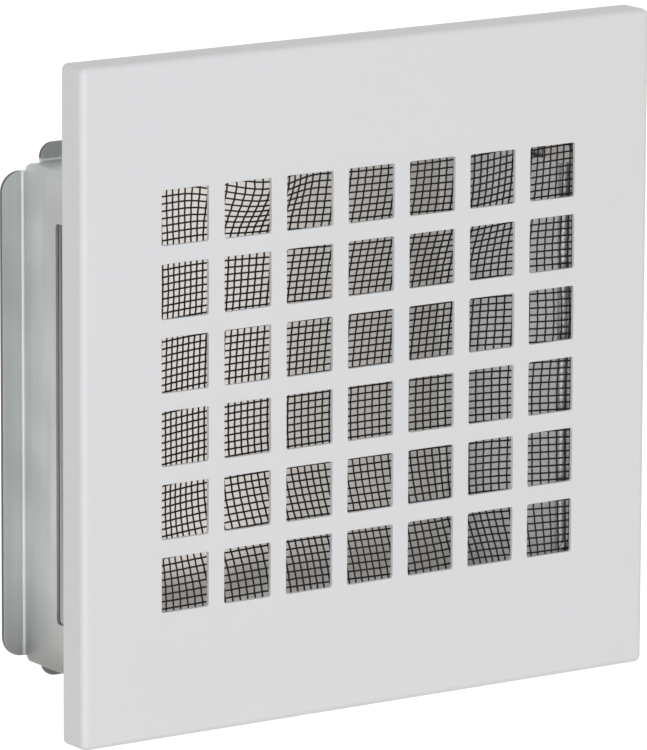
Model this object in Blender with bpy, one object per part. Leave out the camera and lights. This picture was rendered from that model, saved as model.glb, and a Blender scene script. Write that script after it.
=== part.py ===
"""A square ventilation grille: a punched and folded front panel with a fly screen behind it,
held by spring clips in a galvanised mounting frame. Metres, +Z up, the front faces -Y."""

import math

import bmesh
import bpy
from mathutils import Matrix, Vector

MM = 0.001

# Mounting frame: one galvanised strip bent into a square sleeve, with a flange on each wall
SLEEVE_SIDE = 111.5 * MM
SLEEVE_LENGTH = 40.4 * MM
SLEEVE_SHEET = 1.0 * MM
SLEEVE_CORNER_RADIUS = 1.6 * MM
SIDE_FLANGE_WIDTH = 5.4 * MM
TOP_FLANGE_WIDTH = 4.0 * MM
TOP_FLANGE_INSET = 3.0 * MM
FLANGE_BEND_RADIUS = 0.8 * MM
SLOT_LENGTH = 89.0 * MM
SLOT_WIDTH = 5.0 * MM
SLOT_CORNER_RADIUS = 1.0 * MM
SLOT_TO_REAR = 14.1 * MM
LAP_LENGTH = 14.0 * MM
RIVET_RADIUS = 1.6 * MM
RIVET_HEAD_RADIUS = 3.2 * MM
RIVET_HEAD_HEIGHT = 1.0 * MM
RIVET_INSET = 10.0 * MM

# How far the mounting frame, and the clips in it, sit below the middle of the panel
FRAME_DROP = 11.7 * MM

# Front panel: one sheet, punched with square holes, its four edges folded back
PANEL_OVERLAP = 18.25 * MM
PANEL_SHEET = 1.0 * MM
PANEL_BEND_RADIUS = 1.5 * MM
RETURN_DEPTH = 8.0 * MM
HOLE_SIDE = 12.0 * MM
HOLE_CORNER_RADIUS = 0.5 * MM
BAR_WIDTH = 4.0 * MM
SIDE_MARGIN = 20.0 * MM
TOP_MARGIN = 28.0 * MM

# Fly screen, drawn coarser than its real weave
SCREEN_THICKNESS = 0.6 * MM
SCREEN_COLUMNS = 12
SCREEN_ROWS = 10
SCREEN_WIRE = 1.6 * MM
SCREEN_WEAVE_RISE = 0.15 * MM
SCREEN_SAG = 1.1 * MM

# Retainer ring that clamps the screen, and the studs and push-on nuts that hold it
SIGHT_MARGIN = 0.6 * MM
RETAINER_SHEET = 1.0 * MM
RETAINER_CLEARANCE = 4.0 * MM
RETAINER_CORNER_RADIUS = 4.0 * MM
STUD_RADIUS = 1.5 * MM
STUD_BASE_RADIUS = 2.25 * MM
STUD_BASE_HEIGHT = 0.7 * MM
STUD_PROUD = 1.0 * MM
STUD_SPACING = 84.0 * MM
NUT_RADIUS = 4.0 * MM
NUT_HEIGHT = 0.9 * MM
NUT_SHEET = 0.5 * MM

# Spring clips, one on each side of the panel
CLIP_SHEET = 0.6 * MM
CLIP_BEND_RADIUS = 1.0 * MM
CLIP_CROWN = 1.0 * MM
CLIP_TAIL = 8.0 * MM
CLIP_TAIL_DROP = 2.6 * MM
CLIP_FOOT_MARGIN = 4.0 * MM
CLIP_END_MARGIN = 8.0 * MM
CLIP_END_GAP = 2.0 * MM
CLIP_TO_SLEEVE = 9.4 * MM

# Gap between pieces that touch, and between a shank and its hole
SEAT_GAP = 0.3 * MM

BEND_STEPS = 4
CORNER_STEPS = 3
ROUND_STEPS = 16

# Sizes and places that follow from the ones above
PANEL_SIDE = SLEEVE_SIDE + 2 * PANEL_OVERLAP
SCREEN_DEPTH = PANEL_SHEET + SEAT_GAP
RETAINER_DEPTH = SCREEN_DEPTH + SCREEN_THICKNESS + SEAT_GAP
CLIP_DEPTH = RETAINER_DEPTH + RETAINER_SHEET + SEAT_GAP
SLEEVE_FRONT = CLIP_DEPTH + CLIP_SHEET + CLIP_TO_SLEEVE
OVERALL_DEPTH = SLEEVE_FRONT + SLEEVE_LENGTH
FRONT_Y = -OVERALL_DEPTH / 2
SLEEVE_HALF = SLEEVE_SIDE / 2
SLEEVE_INNER_HALF = SLEEVE_HALF - SLEEVE_SHEET
PANEL_HEIGHT = max(PANEL_SIDE / 2, FRAME_DROP + SLEEVE_HALF + TOP_FLANGE_WIDTH)
LAP_RISE = SLEEVE_SHEET + SEAT_GAP
SLOT_DEPTH = OVERALL_DEPTH - SLOT_TO_REAR - SLOT_WIDTH / 2
HOLE_PITCH = HOLE_SIDE + BAR_WIDTH

RETAINER_HALF = PANEL_SIDE / 2 - PANEL_SHEET - RETAINER_CLEARANCE
OPENING_HALF_WIDTH = PANEL_SIDE / 2 - SIDE_MARGIN + SIGHT_MARGIN
OPENING_HALF_HEIGHT = PANEL_SIDE / 2 - TOP_MARGIN + SIGHT_MARGIN
STUD_X = (RETAINER_HALF + OPENING_HALF_WIDTH) / 2
STUD_Z = (RETAINER_HALF + OPENING_HALF_HEIGHT) / 2
SCREEN_HALF_WIDTH = STUD_X - STUD_BASE_RADIUS - SEAT_GAP
SCREEN_HALF_HEIGHT = STUD_Z - STUD_BASE_RADIUS - SEAT_GAP

CLIP_TOP = SLEEVE_INNER_HALF - CLIP_END_GAP - FRAME_DROP
CLIP_BOTTOM = CLIP_END_GAP - SLEEVE_INNER_HALF - FRAME_DROP
CLIP_STUDS_Z = (CLIP_TOP - CLIP_END_MARGIN, CLIP_BOTTOM + CLIP_END_MARGIN)


def finish(name, color, roughness, metallic):
    """A plain Principled material."""
    material = bpy.data.materials.new(name)
    material.use_nodes = True
    shader = material.node_tree.nodes["Principled BSDF"]
    shader.inputs["Base Color"].default_value = (*color, 1.0)
    shader.inputs["Roughness"].default_value = roughness
    shader.inputs["Metallic"].default_value = metallic
    material.diffuse_color = (*color, 1.0)
    return material


def add_object(name, bm, material, parent, location=(0, 0, 0)):
    """The finished bmesh as an object of the scene, under its parent."""
    mesh = bpy.data.meshes.new(name)
    bm.to_mesh(mesh)
    bm.free()
    mesh.materials.append(material)
    mesh.shade_smooth()
    mesh.set_sharp_from_angle(angle=math.radians(35))
    return place(name, mesh, parent, location)


def place(name, mesh, parent, location):
    """One object on this mesh, which other objects may share."""
    obj = bpy.data.objects.new(name, mesh)
    obj.parent = parent
    obj.location = location
    bpy.context.scene.collection.objects.link(obj)
    return obj


def add_datum(name, location):
    """An empty that carries the pieces of one body."""
    datum = bpy.data.objects.new(name, None)
    datum.location = location
    bpy.context.scene.collection.objects.link(datum)
    return datum


def cut(obj, name, bm):
    """Takes the shapes in the bmesh away from the object with a Boolean."""
    bmesh.ops.recalc_face_normals(bm, faces=bm.faces)
    mesh = bpy.data.meshes.new(name)
    bm.to_mesh(mesh)
    bm.free()
    cutter = place(name, mesh, obj.parent, obj.location)
    cutter.hide_render = True
    cutter.display_type = "WIRE"
    modifier = obj.modifiers.new(name, "BOOLEAN")
    modifier.operation = "DIFFERENCE"
    modifier.solver = "EXACT"
    modifier.object = cutter


def filleted(corners, radius, steps):
    """An open line through these corners of a plane, each inner one rounded with an arc."""
    points = [corners[0]]
    for before, corner, after in zip(corners, corners[1:], corners[2:]):
        back = (before - corner).normalized()
        ahead = (after - corner).normalized()
        half_angle = back.angle(ahead) / 2
        centre = corner + (back + ahead).normalized() * radius / math.sin(half_angle)
        start = corner + back * radius / math.tan(half_angle)
        end = corner + ahead * radius / math.tan(half_angle)
        sweep = math.pi - 2 * half_angle
        side = start - centre
        other = (end - centre - side * math.cos(sweep)) / math.sin(sweep)
        for step in range(steps + 1):
            angle = sweep * step / steps
            points.append(centre + side * math.cos(angle) + other * math.sin(angle))
    points.append(corners[-1])
    return points


def rounded_outline(half_width, half_height, radius):
    """A rectangle with round corners, anticlockwise about the origin."""
    centres = (
        (half_width - radius, half_height - radius),
        (radius - half_width, half_height - radius),
        (radius - half_width, radius - half_height),
        (half_width - radius, radius - half_height),
    )
    outline = []
    for quarter, (x, y) in enumerate(centres):
        for step in range(CORNER_STEPS + 1):
            angle = math.pi / 2 * (quarter + step / CORNER_STEPS)
            outline.append((x + radius * math.cos(angle), y + radius * math.sin(angle)))
    return outline


def round_outline(radius):
    """A circle about the origin."""
    turns = (2 * math.pi * step / ROUND_STEPS for step in range(ROUND_STEPS))
    return [(radius * math.cos(turn), radius * math.sin(turn)) for turn in turns]


def extrude_outline(bm, outline, start, end, matrix):
    """A closed prism: the outline lies in the matrix's own XY plane and runs along its Z."""
    near = [bm.verts.new(matrix @ Vector((x, y, start))) for x, y in outline]
    far = [bm.verts.new(matrix @ Vector((x, y, end))) for x, y in outline]
    bm.faces.new(reversed(near))
    bm.faces.new(far)
    for i, j in zip(range(-1, len(outline) - 1), range(len(outline))):
        bm.faces.new((near[i], near[j], far[j], far[i]))


def facing_back(x=0.0, z=0.0):
    """A plane seen from the front, X to the right and Z up, whose depth runs to the rear."""
    return Matrix.Translation((x, 0, z)) @ Matrix(
        ((1, 0, 0, 0), (0, 0, 1, 0), (0, 1, 0, 0), (0, 0, 0, 1))
    )


def spun(profile):
    """A solid turned about the Y axis, from a closed (radius, depth) profile."""
    bm = bmesh.new()
    verts = [bm.verts.new((radius, depth, 0)) for radius, depth in profile]
    edges = [bm.edges.new(pair) for pair in zip(verts, verts[1:] + verts[:1])]
    bmesh.ops.spin(
        bm,
        geom=verts + edges,
        cent=(0, 0, 0),
        axis=(0, 1, 0),
        angle=2 * math.pi,
        steps=ROUND_STEPS,
    )
    bmesh.ops.remove_doubles(bm, verts=bm.verts, dist=0.001 * MM)
    on_axis = [edge for edge in bm.edges if not edge.link_faces]
    bmesh.ops.delete(bm, geom=on_axis, context="EDGES")
    bmesh.ops.recalc_face_normals(bm, faces=bm.faces)
    return bm


def hole_centres():
    """Centres of the punched holes, as many as fit inside the blank margins."""
    spare_width = PANEL_SIDE - 2 * SIDE_MARGIN - HOLE_SIDE
    spare_height = PANEL_SIDE - 2 * TOP_MARGIN - HOLE_SIDE
    last_column = math.floor(spare_width / HOLE_PITCH + 0.001)
    last_row = math.floor(spare_height / HOLE_PITCH + 0.001)
    for column in range(last_column + 1):
        for row in range(last_row + 1):
            yield (column - last_column / 2) * HOLE_PITCH, (row - last_row / 2) * HOLE_PITCH


def stud_places():
    """(x, z, depth of the face that the nut bears on) of each stud."""
    plain = CLIP_DEPTH
    on_clip = CLIP_DEPTH + CLIP_SHEET + SEAT_GAP
    for z in (STUD_Z, -STUD_Z):
        for x in (-STUD_SPACING / 2, STUD_SPACING / 2):
            yield x, z, plain
    for x in (-STUD_X, STUD_X):
        for z in CLIP_STUDS_Z:
            yield x, z, on_clip


def make_front_panel(parent, material):
    """A tray of bent sheet, open at the back, with the holes punched through its face."""
    bm = bmesh.new()
    size = Matrix.Diagonal((PANEL_SIDE, RETURN_DEPTH, PANEL_SIDE, 1))
    centre = Matrix.Translation((0, RETURN_DEPTH / 2, 0))
    bmesh.ops.create_cube(bm, size=1, matrix=centre @ size)
    back = [face for face in bm.faces if face.normal.y > 0.5]
    bmesh.ops.delete(bm, geom=back, context="FACES_ONLY")
    folds = [edge for edge in bm.edges if not edge.is_boundary]
    bmesh.ops.bevel(
        bm,
        geom=folds,
        offset=PANEL_BEND_RADIUS,
        segments=BEND_STEPS,
        profile=0.5,
        affect="EDGES",
    )
    panel = add_object("front_panel", bm, material, parent)
    sheet = panel.modifiers.new("sheet", "SOLIDIFY")
    sheet.thickness = PANEL_SHEET
    sheet.offset = -1
    sheet.use_even_offset = True
    punches = bmesh.new()
    outline = rounded_outline(HOLE_SIDE / 2, HOLE_SIDE / 2, HOLE_CORNER_RADIUS)
    for x, z in hole_centres():
        extrude_outline(punches, outline, -PANEL_SHEET, 2 * PANEL_SHEET, facing_back(x, z))
    cut(panel, "hole_punches", punches)


def screen_lines(half_span, gaps):
    """Edges of the wires across one direction: two for each wire, a wire at both ends."""
    step = (2 * half_span - SCREEN_WIRE) / gaps
    lines = []
    for wire in range(gaps + 1):
        low = -half_span + wire * step
        lines += [low, low + SCREEN_WIRE]
    return lines


def screen_sag(x, z):
    """How far the loose gauze stands back from its clamped edge at this place."""
    if abs(x) >= OPENING_HALF_WIDTH or abs(z) >= OPENING_HALF_HEIGHT:
        return 0.0
    across = math.cos(math.pi / 2 * x / OPENING_HALF_WIDTH)
    upwards = math.cos(math.pi / 2 * z / OPENING_HALF_HEIGHT)
    ripple = 0.75 + 0.25 * math.sin(x / (9 * MM) + 1.2 * math.sin(z / (14 * MM)))
    return SCREEN_SAG * across * upwards * ripple


def make_insect_screen(parent, material):
    """A woven wall: wires crossing over and under each other, with a gap in each mesh."""
    bm = bmesh.new()
    columns = screen_lines(SCREEN_HALF_WIDTH, SCREEN_COLUMNS)
    rows = screen_lines(SCREEN_HALF_HEIGHT, SCREEN_ROWS)
    grid = {}
    for i, x in enumerate(columns):
        for j, z in enumerate(rows):
            rise = 0.0
            if abs(x) < OPENING_HALF_WIDTH and abs(z) < OPENING_HALF_HEIGHT:
                rise = SCREEN_WEAVE_RISE * (1 if (i // 2 + j // 2) % 2 else -1)
            sag = screen_sag(x, z)
            grid[i, j] = bm.verts.new((x, max(SCREEN_DEPTH, SCREEN_DEPTH + sag + rise), z))
    for i in range(len(columns) - 1):
        for j in range(len(rows) - 1):
            if i % 2 and j % 2:
                continue
            corners = ((i, j), (i + 1, j), (i + 1, j + 1), (i, j + 1))
            bm.faces.new([grid[corner] for corner in corners])
    bm.normal_update()
    screen = add_object("insect_screen", bm, material, parent)
    gauze = screen.modifiers.new("gauze", "SOLIDIFY")
    gauze.thickness = SCREEN_THICKNESS
    gauze.offset = -1


def make_retainer(parent, material):
    """The flat ring behind the screen, with its window and its stud holes."""
    bm = bmesh.new()
    outline = rounded_outline(RETAINER_HALF, RETAINER_HALF, RETAINER_CORNER_RADIUS)
    back = RETAINER_DEPTH + RETAINER_SHEET
    extrude_outline(bm, outline, RETAINER_DEPTH, back, facing_back())
    bmesh.ops.recalc_face_normals(bm, faces=bm.faces)
    ring = add_object("screen_retainer", bm, material, parent)
    window = bmesh.new()
    outline = rounded_outline(OPENING_HALF_WIDTH, OPENING_HALF_HEIGHT, RETAINER_CORNER_RADIUS)
    extrude_outline(window, outline, 0, 2 * back, facing_back())
    for x, z, _ in stud_places():
        hole = round_outline(STUD_RADIUS + SEAT_GAP)
        extrude_outline(window, hole, 0, 2 * back, facing_back(x, z))
    cut(ring, "retainer_window", window)


def make_studs(parent, stud_material, nut_material):
    """A weld stud on the panel's back at each place, with a push-on nut near its tip."""
    for number, (x, z, seat) in enumerate(stud_places(), 1):
        base = PANEL_SHEET + SEAT_GAP
        tip = seat + NUT_HEIGHT + STUD_PROUD
        chamfer = STUD_RADIUS / 3
        profile = [
            (0, base),
            (STUD_BASE_RADIUS, base),
            (STUD_BASE_RADIUS, base + STUD_BASE_HEIGHT),
            (STUD_RADIUS, base + STUD_BASE_HEIGHT),
            (STUD_RADIUS, tip - chamfer),
            (STUD_RADIUS - chamfer, tip),
            (0, tip),
        ]
        add_object(f"weld_stud_{number}", spun(profile), stud_material, parent, (x, 0, z))
        bore = STUD_RADIUS + SEAT_GAP
        profile = [
            (NUT_RADIUS, seat),
            (NUT_RADIUS, seat + NUT_SHEET),
            (bore, seat + NUT_HEIGHT),
            (bore, seat + NUT_HEIGHT - NUT_SHEET),
        ]
        add_object(f"push_nut_{number}", spun(profile), nut_material, parent, (x, 0, z))


def clip_profile():
    """(x, depth) of the right clip's face on the sleeve's side, from its foot to its tail."""
    crown = SLEEVE_INNER_HALF - SEAT_GAP
    leg = crown - CLIP_CROWN
    foot = STUD_X + CLIP_FOOT_MARGIN
    corners = [
        Vector((foot, CLIP_DEPTH + CLIP_SHEET)),
        Vector((leg, CLIP_DEPTH + CLIP_SHEET)),
        Vector((leg, SLOT_DEPTH - SLOT_WIDTH)),
        Vector((crown, SLOT_DEPTH)),
        Vector((crown - CLIP_TAIL_DROP, SLOT_DEPTH + CLIP_TAIL)),
    ]
    return filleted(corners, CLIP_BEND_RADIUS, BEND_STEPS)


def make_clip(name, side, parent, material):
    """A strip of spring steel: its foot on two studs, its crown against the sleeve's wall."""
    bm = bmesh.new()
    columns = []
    for x, depth in clip_profile():
        ends = (CLIP_BOTTOM, CLIP_TOP) if side > 0 else (CLIP_TOP, CLIP_BOTTOM)
        columns.append([bm.verts.new((side * x, depth, z)) for z in ends])
    for (low, high), (next_low, next_high) in zip(columns, columns[1:]):
        bm.faces.new((low, next_low, next_high, high))
    bm.normal_update()
    clip = add_object(name, bm, material, parent)
    sheet = clip.modifiers.new("sheet", "SOLIDIFY")
    sheet.thickness = CLIP_SHEET
    sheet.offset = -1
    sheet.use_even_offset = True
    holes = bmesh.new()
    for z in CLIP_STUDS_Z:
        outline = round_outline(STUD_RADIUS + SEAT_GAP)
        extrude_outline(holes, outline, 0, 2 * CLIP_DEPTH, facing_back(side * STUD_X, z))
    cut(clip, f"{name}_holes", holes)


def sleeve_path():
    """The outer line of the strip, from the bottom wall's free end round to the lap, with points
    where the upper and the lower flange end, short of the corners."""
    half = SLEEVE_HALF
    inside = LAP_RISE - half
    start = half - SLEEVE_CORNER_RADIUS
    corners = [
        Vector((start, -half)),
        Vector((-half, -half)),
        Vector((-half, half)),
        Vector((half, half)),
        Vector((half, inside)),
        Vector((start - LAP_LENGTH, inside)),
    ]
    path = filleted(corners, SLEEVE_CORNER_RADIUS, BEND_STEPS)
    points = path[:1]
    for point, following in zip(path, path[1:]):
        if abs(following.x - point.x) > SLEEVE_HALF:
            inset = (following - point).normalized() * TOP_FLANGE_INSET
            points += [point + inset, following - inset]
        points.append(following)
    return points


def flange_rows(width):
    """(outward, backward, how much shorter at each end) for the lines across one flange."""
    bend_length = FLANGE_BEND_RADIUS * math.pi / 2
    reach = bend_length + width - FLANGE_BEND_RADIUS
    for step in range(1, BEND_STEPS + 1):
        angle = math.pi / 2 * step / BEND_STEPS
        run = FLANGE_BEND_RADIUS * angle
        outward = FLANGE_BEND_RADIUS * (1 - math.cos(angle))
        backward = FLANGE_BEND_RADIUS * math.sin(angle)
        yield outward, backward, reach - math.sqrt(reach**2 - run**2)
    for step in range(1, BEND_STEPS + 1):
        past_bend = math.sin(math.pi / 2 * step / BEND_STEPS)
        run = bend_length + (reach - bend_length) * past_bend
        outward = FLANGE_BEND_RADIUS + run - bend_length
        shorter = reach - math.sqrt(max(0.0, reach**2 - run**2))
        yield outward, FLANGE_BEND_RADIUS, shorter


def add_flange(bm, first, last):
    """Bends a flange outwards from the rear edge of one flat wall."""
    along = (last.co - first.co).normalized()
    outwards = Vector((-along.z, 0, along.x))
    backwards = Vector((0, 1, 0))
    width = SIDE_FLANGE_WIDTH if abs(outwards.x) > 0.5 else TOP_FLANGE_WIDTH
    row = (first, last)
    for outward, backward, shorter in flange_rows(width):
        offset = outwards * outward + backwards * backward
        ends = (first.co + along * shorter, last.co - along * shorter)
        next_row = tuple(bm.verts.new(end + offset) for end in ends)
        bm.faces.new((row[0], row[1], next_row[1], next_row[0]))
        row = next_row


def make_mounting_frame(parent, material):
    """The sleeve with its four flanges, its side slots and the holes of its lap seam."""
    bm = bmesh.new()
    rear = OVERALL_DEPTH - SLEEVE_SHEET - FLANGE_BEND_RADIUS
    path = sleeve_path()
    front_edge = [bm.verts.new((x, SLEEVE_FRONT, z)) for x, z in path]
    rear_edge = [bm.verts.new((x, rear, z)) for x, z in path]
    for i in range(len(path) - 1):
        bm.faces.new((front_edge[i], front_edge[i + 1], rear_edge[i + 1], rear_edge[i]))
        if (path[i + 1] - path[i]).length > SLEEVE_HALF:
            add_flange(bm, rear_edge[i], rear_edge[i + 1])
    bm.normal_update()
    frame = add_object("mounting_frame", bm, material, parent)
    sheet = frame.modifiers.new("sheet", "SOLIDIFY")
    sheet.thickness = SLEEVE_SHEET
    sheet.offset = -1
    sheet.use_even_offset = True
    slots = bmesh.new()
    sideways = Matrix(((0, 0, 1, 0), (1, 0, 0, SLOT_DEPTH), (0, 1, 0, 0), (0, 0, 0, 1)))
    outline = rounded_outline(SLOT_WIDTH / 2, SLOT_LENGTH / 2, SLOT_CORNER_RADIUS)
    extrude_outline(slots, outline, -SLEEVE_SIDE, SLEEVE_SIDE, sideways)
    cut(frame, "side_slots", slots)
    holes = bmesh.new()
    for x, depth in rivet_places():
        upright = Matrix.Translation((x, depth, 0))
        outline = round_outline(RIVET_RADIUS + SEAT_GAP)
        extrude_outline(holes, outline, -SLEEVE_SIDE, -SLEEVE_SIDE / 4, upright)
    cut(frame, "rivet_holes", holes)


def rivet_places():
    """(x, depth) of the rivets through the lap."""
    x = SLEEVE_HALF - SLEEVE_CORNER_RADIUS - LAP_LENGTH / 2
    return [(x, SLEEVE_FRONT + RIVET_INSET), (x, OVERALL_DEPTH - RIVET_INSET)]


def make_rivets(parent, material):
    """Solid rivets whose heads close on the lap's two faces."""
    low = -SLEEVE_HALF - SEAT_GAP
    high = -SLEEVE_HALF + LAP_RISE + SLEEVE_SHEET + SEAT_GAP
    neck = RIVET_HEAD_RADIUS * 0.6
    profile = [
        (0, low - RIVET_HEAD_HEIGHT),
        (neck, low - RIVET_HEAD_HEIGHT),
        (RIVET_HEAD_RADIUS, low - RIVET_HEAD_HEIGHT / 3),
        (RIVET_HEAD_RADIUS, low),
        (RIVET_RADIUS, low),
        (RIVET_RADIUS, high),
        (RIVET_HEAD_RADIUS, high),
        (RIVET_HEAD_RADIUS, high + RIVET_HEAD_HEIGHT / 3),
        (neck, high + RIVET_HEAD_HEIGHT),
        (0, high + RIVET_HEAD_HEIGHT),
    ]
    for number, (x, depth) in enumerate(rivet_places(), 1):
        bm = spun(profile)
        bmesh.ops.rotate(bm, verts=bm.verts, matrix=Matrix.Rotation(math.pi / 2, 3, "X"))
        add_object(f"seam_rivet_{number}", bm, material, parent, (x, depth, 0))


def main():
    for obj in list(bpy.data.objects):
        bpy.data.objects.remove(obj)

    white = finish("white_powder_coat", (0.74, 0.75, 0.76), 0.35, 0.0)
    mesh_black = finish("screen_black", (0.03, 0.03, 0.035), 0.6, 0.0)
    galvanised = finish("galvanised_steel", (0.55, 0.57, 0.57), 0.4, 0.9)
    spring = finish("spring_steel", (0.48, 0.48, 0.47), 0.3, 1.0)
    zinc = finish("zinc_plate", (0.6, 0.6, 0.58), 0.35, 1.0)

    panel_datum = add_datum("panel_datum", (0, FRONT_Y, PANEL_HEIGHT))
    make_front_panel(panel_datum, white)
    make_insect_screen(panel_datum, mesh_black)
    make_retainer(panel_datum, galvanised)
    make_studs(panel_datum, zinc, spring)
    make_clip("spring_clip_left", -1, panel_datum, spring)
    make_clip("spring_clip_right", 1, panel_datum, spring)

    frame_datum = add_datum("frame_datum", (0, FRONT_Y, PANEL_HEIGHT - FRAME_DROP))
    make_mounting_frame(frame_datum, galvanised)
    make_rivets(frame_datum, zinc)


main()
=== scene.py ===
"""The looks of a square ventilation grille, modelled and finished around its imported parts.

A white powder-coated front panel with punched holes, a loose woven insect gauze behind it, a
galvanised mounting frame, and the ring, studs, push-on nuts, spring clips and rivets at the back.
Metres, +Z up, the front of the panel faces -Y.
"""

import math
from contextlib import contextmanager

import bmesh
import bpy
from bpy.props import FloatProperty, FloatVectorProperty, IntProperty, PointerProperty
from bpy.types import Operator, Panel, PropertyGroup
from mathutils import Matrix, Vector


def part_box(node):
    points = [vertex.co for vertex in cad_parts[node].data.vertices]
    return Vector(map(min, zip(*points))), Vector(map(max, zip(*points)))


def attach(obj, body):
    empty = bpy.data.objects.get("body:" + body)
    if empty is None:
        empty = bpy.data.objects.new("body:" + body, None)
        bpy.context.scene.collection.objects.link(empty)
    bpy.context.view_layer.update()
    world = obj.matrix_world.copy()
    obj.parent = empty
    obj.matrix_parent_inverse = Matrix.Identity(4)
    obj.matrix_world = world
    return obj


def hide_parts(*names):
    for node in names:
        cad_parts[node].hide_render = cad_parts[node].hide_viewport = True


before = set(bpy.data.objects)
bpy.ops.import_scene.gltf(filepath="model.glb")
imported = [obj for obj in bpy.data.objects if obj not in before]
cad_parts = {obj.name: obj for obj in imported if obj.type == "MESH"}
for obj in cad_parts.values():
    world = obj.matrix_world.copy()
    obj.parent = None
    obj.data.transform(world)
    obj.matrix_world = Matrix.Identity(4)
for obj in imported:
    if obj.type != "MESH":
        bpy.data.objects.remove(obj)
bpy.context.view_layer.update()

bl_info = {
    "name": "Ventilation Grille",
    "version": (1, 0, 0),
    "blender": (4, 5, 0),
    "location": "View3D > Sidebar > Grille",
    "description": "Models and finishes a punched ventilation grille around its packed parts",
    "category": "Object",
}

CUT_EDGE = "cut_edge"
MM = 0.001
TINY = 0.01 * MM
QUARTER_TURN = math.pi / 2
SHARP = math.radians(38)

FOLD_STEPS = 12
SLACK_STEPS = 160
CORNER_STEPS = 8
ROUND_STEPS = 40
NUT_SLITS = 3
DOME_STEPS = 7

STUD_WELD = 0.08 * MM
STUD_EDGE = 0.15 * MM
STUD_FILLET = 0.2 * MM
NUT_EDGE = 0.04 * MM
CLIP_EDGE = 0.08 * MM
CLIP_TRIM = 0.2 * MM
FLOOR_SIDE = 40.0

# A nut's outline from its rim inwards, as shares of its radius and its rise, and how far its
# slits reach. A stud's tip, as shares of its taper taken off the radius and left of the height.
NUT_OUTLINE = ((1.0, 0.0), (0.80, 0.0), (0.72, 0.12), (0.60, 0.55))
NUT_SLIT_REACH = 0.68
STUD_NECK = 0.96
STUD_TIP = ((0.0, 1.0), (0.8, 0.15), (1.0, 0.0))
SPRING_SHADE = 0.72
STRAW_TINT = (1.0, 0.96, 0.84)

PANEL_LOW, PANEL_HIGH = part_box("front_panel")
PANEL_CENTRE = (PANEL_LOW + PANEL_HIGH) / 2
STUD_NODES = [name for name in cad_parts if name.startswith("weld_stud_")]
NUT_NODES = [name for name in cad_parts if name.startswith("push_nut_")]
RIVET_NODES = [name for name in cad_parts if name.startswith("seam_rivet_")]

# Where handling has drawn the loose gauze aside, seen from the front and measured from the
# panel's middle: place across and up, shift to the right and up, and how far the shift reaches
GAUZE_PULLS_MM = (
    (21, 35, 2.4, -1.4, 44),
    (-28, 49, 3.4, -3.2, 18),
    (0, -14, -1.9, 0.2, 44),
    (35, -35, -1.7, 0.5, 18),
    (-21, -42, 1.5, 0.5, 32),
    (-35, 49, -2.9, 1.1, 32),
    (-7, 49, -0.4, -1.9, 60),
    (-35, -7, -1.1, -0.2, 44),
    (28, 35, 0.8, -0.8, 18),
    (49, 7, 1.3, -0.5, 18),
    (-42, -28, -1.4, 0.0, 18),
    (28, -49, 1.0, 0.6, 18),
)


def number(name, description, default, **kind):
    """A property that holds a number."""
    return FloatProperty(name=name, description=description, default=default, **kind)


def length(name, description, millimetres):
    """A property that holds a length."""
    return number(name, description, millimetres * MM, min=0.0, unit="LENGTH", precision=5)


def share(name, description, default):
    """A property that holds a number from 0 to 1."""
    return number(name, description, default, min=0.0, max=1.0, subtype="FACTOR")


def turn(name, description, degrees):
    """A property that holds an angle."""
    return number(name, description, math.radians(degrees), subtype="ANGLE")


def colour(name, description, default):
    """A property that holds a colour."""
    return FloatVectorProperty(
        name=name, description=description, default=default, size=3, min=0.0, subtype="COLOR"
    )


class PanelSettings(PropertyGroup):
    """The punched front panel with its folded edges."""

    sheet: length("Sheet", "Thickness of the coated steel sheet", 1.0)
    bend_radius: length("Bend Radius", "Outer radius of the folded edges", 1.5)
    hole_side: length("Hole Side", "Side of each punched square hole", 12.0)
    hole_pitch: length("Hole Pitch", "Distance from one hole to the next", 16.0)
    hole_corner: length("Hole Corner", "Radius in the corners of the holes", 0.5)
    columns: IntProperty(name="Columns", description="Holes side by side", default=7, min=1)
    rows: IntProperty(name="Rows", description="Holes above each other", default=6, min=1)
    soft_edge: length("Soft Edge", "How far the coating rounds a punched edge", 0.16)
    coat: colour("Coat", "White of the powder coat", (0.755, 0.762, 0.775))
    coat_shade: colour("Coat Shade", "White where the coat lies thinner", (0.735, 0.742, 0.752))
    roughness: share("Roughness", "Roughness of the powder coat", 0.40)


class GauzeSettings(PropertyGroup):
    """The woven insect gauze."""

    across: length("Spacing Across", "Between upright wires, 14 to the inch", 25.4 / 14)
    up: length("Spacing Up", "Between level wires, 16 to the inch", 25.4 / 16)
    wire: length("Wire", "Thickness of the coated wire", 0.40)
    crimp: share("Crimp", "Swing of a wire over the next, in thicknesses", 0.22)
    slack: length("Slack", "How far the loose middle hangs back", 7.5)
    slack_width: length("Slack Width", "Width of the part that hangs back", 92.0)
    slack_height: length("Slack Height", "Height of the part that hangs back", 68.0)
    black: colour("Black", "Colour of the wire's coating", (0.006, 0.006, 0.006))
    dust: colour("Dust", "Colour of the dust on the wires", (0.016, 0.015, 0.014))


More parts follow.
